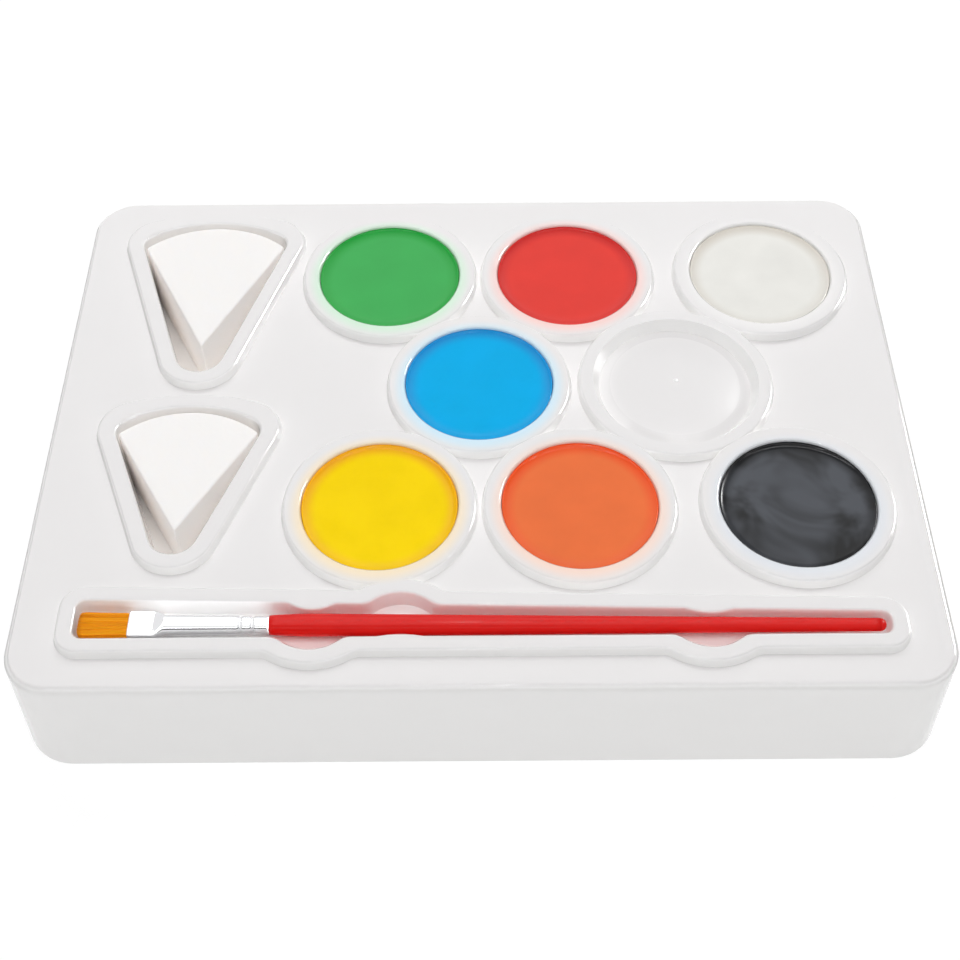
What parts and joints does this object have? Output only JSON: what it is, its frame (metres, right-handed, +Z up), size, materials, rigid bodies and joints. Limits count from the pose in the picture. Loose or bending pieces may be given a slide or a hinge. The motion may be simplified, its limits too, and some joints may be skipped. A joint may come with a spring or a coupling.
{
  "type": "face paint kit",
  "caption": "Vacuum-formed tray with round wells of face paint, an empty mixing well, wedge sponges in shaped pockets and a flat brush in a slot.",
  "frame": {"origin": "middle of the tray's footprint, on the surface it stands on", "axes": "+X along the brush towards the end of its handle, +Y away from the brush's side of the tray, +Z up"},
  "size_m": [0.1728, 0.1284, 0.0278],
  "materials": {
    "tray": "thin milky sheet, glossy, faintly see-through",
    "green_paint": "cast paint, smooth and glossy",
    "red_paint": "cast paint, smooth and glossy",
    "white_paint": "cast paint, smooth and glossy",
    "blue_paint": "cast paint, smooth and glossy",
    "yellow_paint": "cast paint, smooth and glossy",
    "orange_paint": "cast paint, smooth and glossy",
    "black_paint": "cast paint, smooth and glossy",
    "foam": "fine-pored foam, matte off-white",
    "bristles": "golden orange synthetic hair",
    "ferrule": "bright plated",
    "handle": "bright red lacquer-like gloss"
  },
  "bodies": {
    "tray": {"tray": "tray", "paint_green": "green_paint", "paint_red": "red_paint", "paint_white": "white_paint", "paint_blue": "blue_paint", "paint_yellow": "yellow_paint", "paint_orange": "orange_paint", "paint_black": "black_paint"},
    "brush": {"brush_bristles": "bristles", "brush_ferrule": "ferrule", "brush_handle": "handle"},
    "sponge_back": {"sponge_back": "foam"},
    "sponge_front": {"sponge_front": "foam"}
  },
  "joints": [
    {"name": "brush_lift", "type": "slide", "parent": "tray", "child": "brush", "axis": [0, 0, 1], "range_m": [0, 0.03]},
    {"name": "sponge_back_lift", "type": "slide", "parent": "tray", "child": "sponge_back", "axis": [0, 0, 1], "range_m": [0, 0.03]},
    {"name": "sponge_front_lift", "type": "slide", "parent": "tray", "child": "sponge_front", "axis": [0, 0, 1], "range_m": [0, 0.03]}
  ]
}
